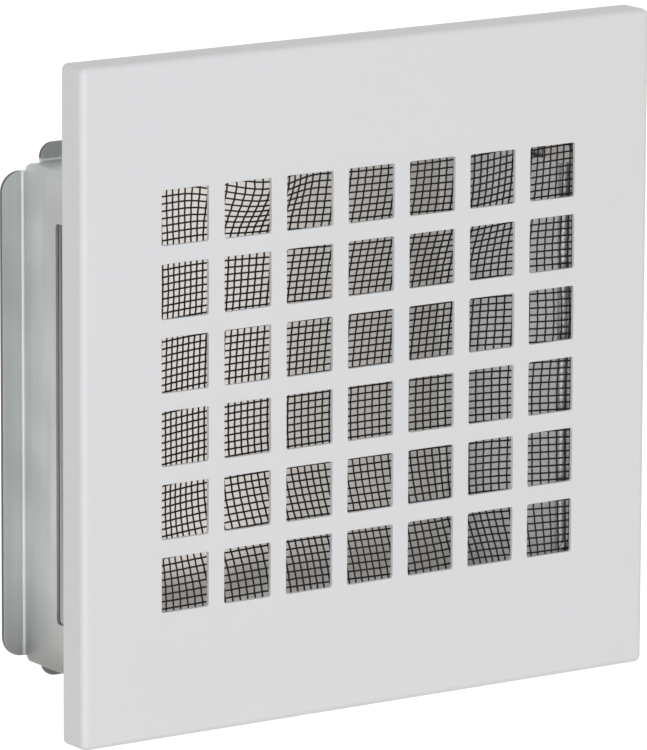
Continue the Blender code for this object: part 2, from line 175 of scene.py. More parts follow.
class MountingSettings(PropertyGroup):
    """The galvanised mounting frame with its rear flanges."""

    sheet: length("Sheet", "Thickness of the galvanised sheet", 1.0)
    corner_radius: length("Corner Radius", "Outer radius of the sleeve's corners", 1.6)
    side_flange: length("Side Flange", "How far the side flanges stand out", 5.4)
    top_flange: length("Top Flange", "How far the other two flanges stand out", 4.0)
    top_inset: length("Top Inset", "How far those two end before the corners", 3.0)
    bend_radius: length("Flange Bend", "Radius where a flange turns out", 0.8)
    slot_length: length("Slot Length", "Length of the slot in each side wall", 89.0)
    slot_width: length("Slot Width", "Width of the slot in each side wall", 5.0)
    slot_corner: length("Slot Corner", "Radius in the corners of the slots", 1.0)
    slot_to_rear: length("Slot to Rear", "From the slot's rear edge to the flange", 14.1)
    lap_length: length("Lap Length", "Flat length of the lap seam", 14.0)
    lap_rise: length("Lap Rise", "How far the lap steps inwards", 1.3)
    cut_edge: length("Cut Edge", "How far the sheared edges are rounded", 0.12)
    burnish: length("Burnish", "How deep a slot's cut keeps the zinc's tone", 0.7)
    zinc: colour("Zinc", "Light tone of the zinc coat", (0.61, 0.64, 0.635))
    zinc_shade: colour("Zinc Shade", "Dark tone of the zinc coat", (0.43, 0.455, 0.46))
    steel: colour("Steel", "Bare steel of the sheared edges", (0.11, 0.11, 0.113))
    # Painted shade: the zinc is painted darker towards the bottom, up to this height, in this tone.
    low_shade_height: length("Low Shade Height", "Height up to which the zinc is darker", 26.0)
    painted_low_shade: colour("Low Zinc", "Tone of the zinc down there", (0.16, 0.165, 0.165))
    # Painted shade: the frame's inner faces are painted in this darker tone, as shade inside the
    # sleeve.
    inner_shade: colour("Inner Shade", "Tone of the zinc inside the frame", (0.40, 0.41, 0.405))


class FixingSettings(PropertyGroup):
    """Clamp ring, studs, push-on nuts, spring clips and rivets."""

    ring_corner: length("Ring Corner", "Corner radius of the clamp ring", 4.0)
    window_width: length("Window Width", "Width of the clamp ring's window", 109.2)
    window_height: length("Window Height", "Height of the clamp ring's window", 93.2)
    stud_radius: length("Stud Radius", "Radius of a weld stud's shank", 1.5)
    stud_base: length("Stud Base", "Height of a weld stud's foot", 0.7)
    clearance: length("Clearance", "Gap round a stud or a rivet in its hole", 0.3)
    nut_sheet: length("Nut Sheet", "Thickness of a push-on nut", 0.4)
    nut_slit: length("Nut Slit", "Width of the slits between a nut's teeth", 0.44)
    clip_sheet: length("Clip Sheet", "Thickness of the spring clips", 0.6)
    clip_bend: length("Clip Bend", "Bend radius of the spring clips", 1.0)
    clip_crown: length("Clip Crown", "How far a clip's crown stands out", 1.0)
    clip_tail_drop: length("Clip Tail Drop", "How far a clip's tail turns in", 2.6)
    clip_tail: length("Clip Tail", "Length of a clip behind its crown", 8.0)
    clip_rise: length("Clip Rise", "Over which a clip rises to its crown", 5.0)
    clip_corner: length("Clip Corner", "Radius of a clip's corners", 2.0)
    rivet_radius: length("Rivet Radius", "Radius of a seam rivet's shank", 1.6)
    rivet_head: length("Rivet Head", "Height of a seam rivet's head", 1.0)
    spring: colour("Spring Steel", "Colour of the clips and nuts", (0.49, 0.51, 0.525))
    plate: colour("Zinc Plate", "Colour of the studs and rivets", (0.60, 0.60, 0.57))


class StageSettings(PropertyGroup):
    """Camera, floor and light."""

    yaw: turn("Yaw", "How far left of the front the camera stands", 34.077)
    pitch: turn("Pitch", "How far the camera looks down", 11.763)
    roll: turn("Roll", "How far the camera leans", 0.226)
    distance: length("Distance", "From the camera to the panel's face", 1683.5)
    aim_right: length("Aim Right", "How far the view is off the panel's middle", 10.35)
    lens: number("Lens", "Focal length in mm", 372.66, subtype="DISTANCE_CAMERA")
    ambient: share("Ambient", "Light of the surroundings on the object", 0.51)
    key: number("Key", "Power of the soft front light", 17.0, unit="POWER")
    key_turn: turn("Key Turn", "How far left of the front that light stands", 27.4)
    key_height: turn("Key Height", "How high that light stands", 15.0)
    key_distance: length("Key Distance", "From that light to the panel", 2200.0)
    key_size: length("Key Size", "Side of that light", 1100.0)
    floor: colour("Floor", "Colour of the floor as it is seen", (0.42, 0.398, 0.378))
    floor_glow: colour("Floor Glow", "Colour of its light on the object", (0.16, 0.16, 0.16))
    front_light: number("Front Light", "Strength of the floor's light from the front", 36.0)
    front_spread: turn("Front Spread", "How wide that light's disc is in the sky", 0.4)
    flag_width: length("Flag Width", "Width of the cloth flag in that light", 170.0)
    flag_height: length("Flag Height", "Height of that flag", 145.0)
    flag_distance: length("Flag Distance", "From that flag to the panel", 1200.0)
    flag_rise: length("Flag Rise", "How far it hangs above the sight line", 12.5)


def deselect():
    """Leaves edit mode and selects nothing, so that an operator acts on its own piece only."""
    if bpy.context.mode != "OBJECT":
        bpy.ops.object.mode_set(mode="OBJECT")
    bpy.ops.object.select_all(action="DESELECT")


def activate(obj):
    """Makes this the one selected object."""
    deselect()
    obj.select_set(True)
    bpy.context.view_layer.objects.active = obj


@contextmanager
def editing(obj):
    """Edit mode on one object, with nothing selected at first."""
    activate(obj)
    bpy.ops.object.mode_set(mode="EDIT")
    bpy.ops.mesh.select_mode(type="VERT")
    bpy.ops.mesh.select_all(action="DESELECT")
    yield
    bpy.ops.object.mode_set(mode="OBJECT")


def pick(kind, test):
    """In edit mode, selects the vertices, edges or faces that pass the test, and only those."""
    bpy.ops.mesh.select_mode(type=kind)
    bpy.ops.mesh.select_all(action="DESELECT")
    mesh = bpy.context.edit_object.data
    bm = bmesh.from_edit_mesh(mesh)
    for part in {"VERT": bm.verts, "EDGE": bm.edges, "FACE": bm.faces}[kind]:
        if test(part):
            part.select_set(True)
    bmesh.update_edit_mesh(mesh)


def middle(edge):
    """The middle of an edge."""
    return (edge.verts[0].co + edge.verts[1].co) / 2


def runs_along(edge, axis):
    """Whether an edge is parallel to the X, Y or Z axis, given as 0, 1 or 2."""
    span = edge.verts[1].co - edge.verts[0].co
    return all(abs(span[other]) < TINY for other in range(3) if other != axis)


def extrude(shift):
    """Extrudes what is selected by this much, and leaves the new part selected."""
    bpy.ops.mesh.extrude_region_move(TRANSFORM_OT_translate={"value": tuple(shift)})


def modify(obj, kind, **settings):
    """Gives the object one modifier with these settings and applies it."""
    activate(obj)
    bpy.ops.object.modifier_add(type=kind)
    modifier = obj.modifiers[-1]
    for name, value in settings.items():
        setattr(modifier, name, value)
    bpy.ops.object.modifier_apply(modifier=modifier.name)


def settle(name, size=(1, 1, 1)):
    """Names the new object, sizes it, and moves its place, turn and scale into its mesh."""
    made = bpy.context.object
    made.name = made.data.name = name
    made.scale = size
    bpy.ops.object.transform_apply(location=True, rotation=True, scale=True)
    return made


def add_block(name, low, high):
    """A block that fills the box between two corners."""
    deselect()
    low, high = Vector(low), Vector(high)
    bpy.ops.mesh.primitive_cube_add(size=1, location=(low + high) / 2)
    return settle(name, high - low)


def add_rounded_block(name, low, high, axis, radius):
    """A block whose four edges along one axis are rounded."""
    block = add_block(name, low, high)
    with editing(block):
        pick("EDGE", lambda edge: runs_along(edge, axis))
        bpy.ops.mesh.bevel(offset=radius, segments=CORNER_STEPS, affect="EDGES")
    return block


def add_sheet(name, centre, tilt, width, depth):
    """A flat rectangle, tilted about X by this much."""
    deselect()
    bpy.ops.mesh.primitive_plane_add(size=1, location=centre, rotation=(tilt, 0, 0))
    return settle(name, (width, depth, 1))


def add_turned(name, centre, rings, filled=True):
    """A turned piece along +Y: a circle drawn out and resized, ring by ring, as (radius, travel)."""
    deselect()
    radius = rings[0][0]
    bpy.ops.mesh.primitive_circle_add(
        vertices=ROUND_STEPS,
        radius=radius,
        fill_type="NGON" if filled else "NOTHING",
        location=Vector(centre) + Vector((0, rings[0][1], 0)),
        rotation=(QUARTER_TURN, 0, 0),
    )
    piece = settle(name)
    with editing(piece):
        bpy.ops.mesh.select_all(action="SELECT")
        for (before, start), (after, end) in zip(rings, rings[1:]):
            extrude((0, end - start, 0))
            ratio = after / before
            bpy.ops.transform.resize(
                value=(ratio, 1, ratio), center_override=Vector(centre) + Vector((0, end, 0))
            )
        bpy.ops.mesh.select_all(action="SELECT")
        bpy.ops.mesh.remove_doubles(threshold=TINY)
        bpy.ops.mesh.normals_make_consistent(inside=False)
    return piece


def cut_away(obj, cutter):
    """Takes the cutter's shape out of the object and removes the cutter."""
    if len(obj.data.materials) > 1:
        add_cut_slot(cutter)
        for face in cutter.data.polygons:
            face.material_index = 1
    modify(obj, "BOOLEAN", object=cutter, operation="DIFFERENCE", solver="EXACT")
    bpy.data.objects.remove(cutter)


def add_cut_slot(obj):
    """Gives a sheet two empty material slots, of which its cut faces take the second."""
    for _ in range(2):
        obj.data.materials.append(None)


def keep_cut_edges(obj):
    """Keeps which faces were sheared or punched as an attribute that the finish reads."""
    marks = obj.data.attributes.new(CUT_EDGE, "FLOAT", "FACE")
    for face in obj.data.polygons:
        marks.data[face.index].value = face.material_index
        face.material_index = 0


def thicken(obj, sheet, offset=-1, rim=0):
    """Gives folded faces the thickness of their sheet, the same round each bend."""
    modify(
        obj,
        "SOLIDIFY",
        thickness=sheet,
        offset=offset,
        use_even_offset=True,
        material_offset_rim=rim,
    )


def soften(obj, width, segments=2):
    """Rounds the sharp edges a little, as a coat or a deburred cut has them, and shades it smooth."""
    modify(obj, "BEVEL", width=width, segments=segments, limit_method="ANGLE", angle_limit=SHARP)
    smooth(obj)


def smooth(obj):
    """Smooth shading that keeps the flat faces flat."""
    activate(obj)
    bpy.ops.object.shade_smooth()
    modify(obj, "WEIGHTED_NORMAL", keep_sharp=True)


def direction(left, up):
    """The direction from the object that is turned this far to the left of the front, and up."""
    return Vector((-math.sin(left) * math.cos(up), -math.cos(left) * math.cos(up), math.sin(up)))


def box_size(node):
    """The width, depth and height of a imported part's box."""
    low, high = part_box(node)
    return high - low


def box_centre(node):
    """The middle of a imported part's box."""
    low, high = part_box(node)
    return (low + high) / 2


def front_centre(node):
    """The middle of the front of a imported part's box."""
    centre = box_centre(node)
    centre.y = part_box(node)[0].y
    return centre


def turn_about(obj, angle, axis, centre):
    """Turns the object's whole mesh about an axis through this centre."""
    with editing(obj):
        bpy.ops.mesh.select_all(action="SELECT")
        bpy.ops.transform.rotate(value=angle, orient_axis=axis, center_override=centre)


def drill(obj, node, radius, upright=False):
    """Drills the hole that one stud, or one upright rivet, passes through."""
    size = box_size(node)
    deselect()
    bpy.ops.mesh.primitive_cylinder_add(
        vertices=ROUND_STEPS,
        radius=radius,
        depth=2 * (size.z if upright else size.y),
        location=box_centre(node),
        rotation=(0 if upright else QUARTER_TURN, 0, 0),
    )
    cut_away(obj, settle("drill"))


def copy_to(obj, name, shift=(0, 0, 0)):
    """A copy of the object with a mesh of its own, moved by this much."""
    activate(obj)
    bpy.ops.object.duplicate(linked=False)
    bpy.ops.transform.translate(value=shift)
    return settle(name)


def dress(obj, material, slot, body, *nodes):
    """Gives a finished piece its material and ties it to the part that it stands for."""
    obj.data.materials.clear()
    obj.data.materials.append(material)
    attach(obj, body)
    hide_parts(*nodes)


class Field:
    """A material's socket, so that shader maths is written as an expression."""

    def __init__(self, finish, socket):
        self.finish = finish
        self.socket = socket

    def math(self, operation, first, second):
        return self.finish.node("Math", {"operation": operation}, {0: first, 1: second})

    def __abs__(self):
        return self.math("ABSOLUTE", self, 0.0)

    def __add__(self, other):
        return self.math("ADD", self, other)

    def __sub__(self, other):
        return self.math("SUBTRACT", self, other)

    def __rsub__(self, other):
        return self.math("SUBTRACT", other, self)

    def __mul__(self, other):
        return self.math("MULTIPLY", self, other)

    def __gt__(self, other):
        return self.math("GREATER_THAN", self, other)

    def __or__(self, other):
        return self.math("MAXIMUM", self, other)

    __radd__ = __add__
    __rmul__ = __mul__


class Finish:
    """A material in the making: its constants are set on the shader, its fields are linked."""

    def __init__(self, owner, shader="Principled BSDF", constants=None):
        self.owner = bpy.data.materials.new(owner) if isinstance(owner, str) else owner
        self.owner.use_nodes = True
        self.nodes = self.owner.node_tree.nodes
        self.links = self.owner.node_tree.links
        self.shader = self.nodes[shader]
        for socket, value in (constants or {}).items():
            self.shader.inputs[socket].default_value = value

    def node(self, kind, settings=None, inputs=None, output=0):
        """Any node: its type, its settings, then the values or links of its sockets."""
        made = self.nodes.new("ShaderNode" + kind)
        for name, value in (settings or {}).items():
            if name == "stops":
                self.set_stops(made.color_ramp, value)
            else:
                setattr(made, name, value)
        for socket, value in (inputs or {}).items():
            if isinstance(value, Field):
                self.links.new(value.socket, made.inputs[socket])
            else:
                made.inputs[socket].default_value = value
        return Field(self, made.outputs[output])

    @staticmethod
    def set_stops(ramp, stops):
        """Gives a ramp its stops, as (position, grey)."""
        while len(ramp.elements) < len(stops):
            ramp.elements.new(1.0)
        for element, (position, grey) in zip(ramp.elements, stops):
            element.position = position
            element.color = (grey, grey, grey, 1.0)

    def seen(self):
        """1 where the camera, a reflection or glass looks, and 0 for light that is passed on."""
        rays = [
            self.node("LightPath", output=name)
            for name in ("Is Camera Ray", "Is Glossy Ray", "Is Transmission Ray")
        ]
        return rays[0] | rays[1] | rays[2]

    def place(self, stretch=(1, 1, 1)):
        """Object coordinates, stretched along the axes."""
        spot = self.node("TexCoord", output="Object")
        if stretch == (1, 1, 1):
            return spot
        return self.node("Mapping", None, {"Vector": spot, "Scale": stretch})

    def axis(self, number):
        """Object coordinates along X, Y or Z, given as 0, 1 or 2."""
        return self.node("SeparateXYZ", None, {"Vector": self.place()}, output=number)

    def noise(self, size, detail=2.0, stretch=(1, 1, 1)):
        """Soft noise from 0 to 1 whose blots are about this size."""
        inputs = {"Vector": self.place(stretch), "Scale": 1 / size, "Detail": detail}
        return self.node("TexNoise", None, inputs)

    def ramp(self, field, *stops):
        """The field led through a curve of (position, grey) stops."""
        return self.node("ValToRGB", {"stops": stops}, {"Fac": field})

    def blend(self, factor, first, second):
        """Two colours mixed by a field, into sockets whose names the Mix node uses twice."""
        colours = [c if isinstance(c, Field) else (*c, 1.0) for c in (first, second)]
        return self.node(
            "Mix", {"data_type": "RGBA"}, {0: factor, 6: colours[0], 7: colours[1]}, output=2
        )

    def bump(self, height, distance):
        """Relief of this height on the surface."""
        inputs = {"Height": height, "Distance": distance, "Strength": 1.0}
        self.link("Normal", self.node("Bump", None, inputs))

    def link(self, socket, field):
        """Feeds a field into one of the shader's sockets."""
        self.links.new(field.socket, self.shader.inputs[socket])

    def done(self):
        return self.owner


def powder_coat(settings):
    """Semi-gloss white powder coat with a faint orange peel."""
    finish = Finish("powder_coat", constants={"IOR": 1.5, "Specular IOR Level": 0.4})
    cloud = finish.noise(38 * MM, 1.0)
    peel = finish.noise(1.3 * MM, 1.5)
    grain = finish.noise(0.25 * MM, 1.0)
    finish.link("Base Color", finish.blend(cloud, settings.coat_shade, settings.coat))
    finish.link("Roughness", settings.roughness - 0.04 + 0.08 * cloud)
    finish.bump(peel * 0.8 + grain * 0.2, 0.012 * MM)
    return finish.done()


def coated_wire(settings):
    """Matte black coating on the gauze, with a little dust."""
    finish = Finish("coated_wire", constants={"Roughness": 0.6, "Specular IOR Level": 0.25})
    dusty = finish.ramp(finish.noise(9 * MM, 3.0), (0.45, 0.0), (0.75, 1.0))
    finish.link("Base Color", finish.blend(dusty, settings.black, settings.dust))
    finish.bump(finish.noise(0.12 * MM, 1.0), 0.01 * MM)
    return finish.done()


def galvanised(name, sizes, wall=0.0, middle_height=0.0):
    """Hot-dip galvanised sheet: soft spangle, upright streaks from rolling, dark sheared edges.

    Walls that stand this far from the middle get painted shade on their inner faces, and only that
    side of a slot's cut is dark. The zinc also gets painted shade towards the bottom.
    """
    finish = Finish(name)
    warp = finish.noise(12 * MM, 2.0)
    cell = finish.node(
        "TexVoronoi",
        {"feature": "SMOOTH_F1"},
        {"Vector": finish.place((1, 1, 0.6)), "Scale": 1 / (7 * MM), "Smoothness": 1.0},
        output="Color",
    )
    spangle = finish.node("SeparateColor", None, {"Color": cell})
    cloud = finish.noise(20 * MM, 2.0, (1, 1, 0.35))
    streak = finish.noise(2.2 * MM, 2.0, (1, 1, 0.03))
    tone = finish.ramp(spangle * 0.22 + cloud * 0.5 + streak * 0.28, (0.3, 0.0), (0.7, 1.0))
    # Painted shade: faces inside the frame's walls take a darker tone than the outer faces and
    # flanges.
    out = abs(finish.axis(0)) | abs(finish.axis(2) - middle_height)
    outside = out > wall - sizes.burnish
    skin = outside - (out > wall + sizes.burnish)
    cut = finish.node("Attribute", {"attribute_name": CUT_EDGE}, output="Fac")
    bright = finish.blend(tone, sizes.zinc_shade, sizes.zinc)
    # Painted shade: the zinc is blended to a darker tone towards the bottom.
    height = finish.ramp(finish.axis(2) * (1 / sizes.low_shade_height), (0.1, 0.0), (0.5, 0.7), (1.0, 1.0))
    sheet = finish.blend(outside, sizes.inner_shade, finish.blend(height, sizes.painted_low_shade, bright))
    finish.link("Base Color", finish.blend(cut * (1 - skin), sheet, sizes.steel))
    finish.link("Metallic", 0.72 + spangle * 0.1)
    finish.link("Roughness", 0.40 + spangle * 0.08 + warp * 0.06)
    finish.bump(spangle * 0.4 + streak * 0.6, 0.006 * MM)
    return finish.done()


def spring_steel(settings):
    """Bare spring steel with fine rolling lines."""
    finish = Finish("spring_steel", constants={"Metallic": 0.7})
    lines = finish.noise(0.6 * MM, 2.0, (1, 1, 0.02))
    patch = finish.noise(7 * MM, 2.0)
    darker = [value * SPRING_SHADE for value in settings.spring]
    finish.link("Base Color", finish.blend(patch, darker, settings.spring))
    finish.link("Roughness", 0.38 + lines * 0.12)
    finish.bump(lines, 0.004 * MM)
    return finish.done()


def zinc_plate(settings):
    """Bright zinc plate with the faint straw tint of its passivation."""
    finish = Finish("zinc_plate", constants={"Metallic": 1.0})
    patch = finish.noise(1.6 * MM, 2.0)
    straw = [value * tint for value, tint in zip(settings.plate, STRAW_TINT)]
    finish.link("Base Color", finish.blend(patch, settings.plate, straw))
    finish.link("Roughness", 0.30 + patch * 0.12)
    finish.bump(finish.noise(0.15 * MM, 2.0), 0.003 * MM)
    return finish.done()


class GRILLE_OT_front_panel(Operator):
    """Models the white front panel: a folded tray with rows of punched square holes"""

    bl_idname = "grille.front_panel"
    bl_label = "Front Panel"

    def execute(self, context):
        sizes = context.scene.grille_panel
        panel = add_block("coated_front_panel", PANEL_LOW, PANEL_HIGH)
        with editing(panel):
            pick("FACE", lambda face: face.normal.y > 0.5)
            bpy.ops.mesh.delete(type="ONLY_FACE")
            pick("EDGE", lambda edge: not edge.is_boundary)
            bpy.ops.mesh.bevel(offset=sizes.bend_radius, segments=FOLD_STEPS, affect="EDGES")
        thicken(panel, sizes.sheet)
        cut_away(panel, self.hole_punches(sizes))
        soften(panel, sizes.soft_edge, 3)
        dress(panel, powder_coat(sizes), "panel_white", "panel", "front_panel")
        return {"FINISHED"}

    def hole_punches(self, sizes):
        """One rounded punch, repeated over all columns and rows."""
        across = (sizes.columns - 1) * sizes.hole_pitch
        up = (sizes.rows - 1) * sizes.hole_pitch
        first = Vector((PANEL_CENTRE.x - across / 2, PANEL_LOW.y, PANEL_CENTRE.z - up / 2))
        reach = Vector((sizes.hole_side / 2, 2 * sizes.sheet, sizes.hole_side / 2))
        punch = add_rounded_block("punch", first - reach, first + reach, 1, sizes.hole_corner)
        spacing = {"use_relative_offset": False, "use_constant_offset": True}
        for count, step in ((sizes.columns, (1, 0, 0)), (sizes.rows, (0, 0, 1))):
            shift = Vector(step) * sizes.hole_pitch
            modify(punch, "ARRAY", count=count, constant_offset_displace=shift, **spacing)
        return punch


class GRILLE_OT_insect_gauze(Operator):
    """Weaves the insect gauze, wire over wire, and draws it aside where it lies loose"""

    bl_idname = "grille.insect_gauze"
    bl_label = "Insect Gauze"

    def execute(self, context):
        sizes = context.scene.grille_gauze
        size = box_size("insect_screen")
        across = round(size.x / sizes.across)
        up = round(size.z / sizes.up)
        deselect()
        bpy.ops.mesh.primitive_grid_add(
            x_subdivisions=across,
            y_subdivisions=up,
            size=1,
            location=front_centre("insect_screen") + Vector((0, sizes.wire, 0)),
            rotation=(QUARTER_TURN, 0, 0),
        )
        net = settle("gauze", (size.x - sizes.wire, size.z - sizes.wire, 1))
        fixings = context.scene.grille_fixings
        with editing(net):
            self.hang_back(sizes, fixings.window_width / 2, fixings.window_height / 2)
            for x, z, right, higher, reach in GAUZE_PULLS_MM:
                self.draw_aside(x * MM, z * MM, Vector((right, 0, higher)) * MM, reach * MM)
        coating = coated_wire(sizes)
        for name, level in (("gauze_upright_wires", False), ("gauze_level_wires", True)):
            wires = self.weave(net, name, across + 1, level, sizes)
            dress(wires, coating, "screen_black", "panel", "insect_screen")
        bpy.data.objects.remove(net)
        return {"FINISHED"}

    def hang_back(self, sizes, half_width, half_height):
        """Lets the slack middle hang back, in a soft slope from the clamp ring's window."""

        def within(width, height):
            return lambda vert: (
                abs(vert.co.x - PANEL_CENTRE.x) < width and abs(vert.co.z - PANEL_CENTRE.z) < height
            )

        pick("VERT", within(sizes.slack_width / 2, sizes.slack_height / 2))
        bpy.ops.transform.translate(value=(0, sizes.slack, 0))
        pick("VERT", within(half_width, half_height))
        bpy.ops.mesh.vertices_smooth(
            factor=0.5, repeat=SLACK_STEPS, xaxis=False, yaxis=True, zaxis=False
        )

    def draw_aside(self, x, z, shift, reach):
        """Moves the gauze about one point, less and less up to this reach."""
        spot = Vector((PANEL_CENTRE.x + x, PANEL_CENTRE.z + z))
        bm = bmesh.from_edit_mesh(bpy.context.edit_object.data)
        bm.verts.index_update()
        nearest = min(bm.verts, key=lambda vert: (vert.co.xz - spot).length).index
        pick("VERT", lambda vert: vert.index == nearest)
        bpy.ops.transform.translate(
            value=shift,
            use_proportional_edit=True,
            proportional_edit_falloff="SMOOTH",
            proportional_size=reach,
        )

    def weave(self, net, name, row, level, sizes):
        """The wires of one direction, each passing over and under the ones that it crosses."""
        wires = copy_to(net, name)
        with editing(wires):
            for side in (0, 1):
                pick("VERT", lambda vert: (vert.index % row + vert.index // row) % 2 == side)
                swing = sizes.crimp * sizes.wire
                towards_front = (side == 0) == level
                bpy.ops.transform.translate(value=(0, -swing if towards_front else swing, 0))
            pick("EDGE", lambda edge: self.is_level(edge) != level)
            bpy.ops.mesh.delete(type="EDGE")
        activate(wires)
        bpy.ops.object.convert(target="CURVE")
        curve = bpy.context.object.data
        curve.bevel_depth = sizes.wire / 2
        curve.bevel_resolution = 1
        curve.use_fill_caps = True
        bpy.ops.object.convert(target="MESH")
        bpy.ops.object.shade_smooth()
        return bpy.context.object

    @staticmethod
    def is_level(edge):
        """Whether an edge of the net joins neighbours in one row."""
        return abs(edge.verts[0].index - edge.verts[1].index) == 1


class GRILLE_OT_mounting_frame(Operator):
    """Folds the galvanised mounting frame from one strip, with its flanges, slots and lap seam"""

    bl_idname = "grille.mounting_frame"
    bl_label = "Mounting Frame"

    def execute(self, context):
        sizes = context.scene.grille_mounting
        low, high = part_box("mounting_frame")
        self.half = (high.x - low.x) / 2 - sizes.side_flange
        self.centre = Vector(((low.x + high.x) / 2, 0, (low.z + high.z) / 2))
        self.rear = high.y - sizes.sheet - sizes.bend_radius
        strip = self.fold_strip(sizes, low.y)
        with editing(strip):
            for outwards in ((-1, 0, 0), (1, 0, 0)):
                self.turn_out_flange(Vector(outwards), sizes.side_flange, sizes.bend_radius)
            for outwards in ((0, 0, 1), (0, 0, -1)):
                self.part_wall(Vector(outwards), self.half - sizes.corner_radius - sizes.top_inset)
                self.turn_out_flange(Vector(outwards), sizes.top_flange, sizes.bend_radius)
        add_cut_slot(strip)
        thicken(strip, sizes.sheet, rim=1)
        cut_away(strip, self.slot_punch(sizes, low, high))
        fixings = context.scene.grille_fixings
        for node in RIVET_NODES:
            drill(strip, node, fixings.rivet_radius + fixings.clearance, upright=True)
        soften(strip, sizes.cut_edge)
        keep_cut_edges(strip)
        zinc = galvanised("galvanised_frame", sizes, self.half, self.centre.z)
        dress(strip, zinc, "galvanised", "mounting", "mounting_frame")
        return {"FINISHED"}

    def fold_strip(self, sizes, front):
        """The strip's outer face, from the bottom wall's free end round to the lap inside it."""
        free_end = self.half - sizes.corner_radius
        width = self.half + free_end
        under = self.centre + Vector((free_end - width / 2, (front + self.rear) / 2, -self.half))
        strip = add_sheet("folded_mounting_frame", under, math.pi, width, self.rear - front)
        side = 2 * self.half
        with editing(strip):
            pick("EDGE", lambda edge: middle(edge).x < self.centre.x - self.half + TINY)
            extrude((0, 0, side))
            extrude((side, 0, 0))
            extrude((0, 0, sizes.lap_rise - side))
            extrude((-sizes.corner_radius - sizes.lap_length, 0, 0))
            pick("EDGE", lambda edge: runs_along(edge, 1) and not edge.is_boundary)
            bpy.ops.mesh.bevel(offset=sizes.corner_radius, segments=FOLD_STEPS, affect="EDGES")
        return strip

    def part_wall(self, outwards, reach):
        """Cuts across one flat wall where its flange ends, this far to both sides of its middle."""
        wall = self.centre + outwards * self.half
        for side in (-1, 1):
            pick("FACE", lambda face: abs((face.calc_center_median() - wall).dot(outwards)) < TINY)
            bpy.ops.mesh.bisect(plane_co=wall + Vector((side * reach, 0, 0)), plane_no=(1, 0, 0))

    def turn_out_flange(self, outwards, width, radius):
        """Bends the rear edge of one flat wall outwards, and rounds the flange's two ends."""

        def out(point):
            return (point - self.centre).dot(outwards)

        def on_wall(edge):
            flat = all(abs(out(vert.co) - self.half) < TINY for vert in edge.verts)
            at_rear = all(abs(vert.co.y - self.rear) < TINY for vert in edge.verts)
            return flat and at_rear and edge.calc_length() > self.half

        pick("EDGE", on_wall)
        along = outwards.cross(Vector((0, 1, 0)))
        bend_centre = self.centre + outwards * (self.half + radius) + Vector((0, self.rear, 0))
        bpy.ops.mesh.spin(steps=FOLD_STEPS // 2, angle=QUARTER_TURN, center=bend_centre, axis=along)
        extrude(outwards * (width - radius))
        tip = self.half + width
        pick("VERT", lambda vert: abs(out(vert.co) - tip) < TINY)
        bpy.ops.mesh.bevel(
            offset=width - radius - TINY, segments=CORNER_STEPS, affect="VERTICES", clamp_overlap=True
        )

    def slot_punch(self, sizes, low, high):
        """A punch through both side walls for their long narrow slots."""
        rear_edge = high.y - sizes.slot_to_rear
        half = sizes.slot_length / 2
        near = (low.x, rear_edge - sizes.slot_width, self.centre.z - half)
        far = (high.x, rear_edge, self.centre.z + half)
        return add_rounded_block("slot_punch", near, far, 0, sizes.slot_corner)


class GRILLE_OT_clamp_ring(Operator):
    """Models the flat ring that clamps the gauze to the back of the panel"""

    bl_idname = "grille.clamp_ring"
    bl_label = "Clamp Ring"

    def execute(self, context):
        sizes = context.scene.grille_fixings
        low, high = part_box("screen_retainer")
        ring = add_rounded_block("gauze_clamp_ring", low, high, 1, sizes.ring_corner)
        reach = Vector((sizes.window_width / 2, high.y - low.y, sizes.window_height / 2))
        centre = box_centre("screen_retainer")
        window = add_rounded_block("window", centre - reach, centre + reach, 1, sizes.ring_corner)
        cut_away(ring, window)
        for node in STUD_NODES:
            drill(ring, node, sizes.stud_radius + sizes.clearance)
        mounting = context.scene.grille_mounting
        soften(ring, mounting.cut_edge)
        zinc = galvanised("galvanised_ring", mounting)
        dress(ring, zinc, "galvanised", "panel", "screen_retainer")
        return {"FINISHED"}


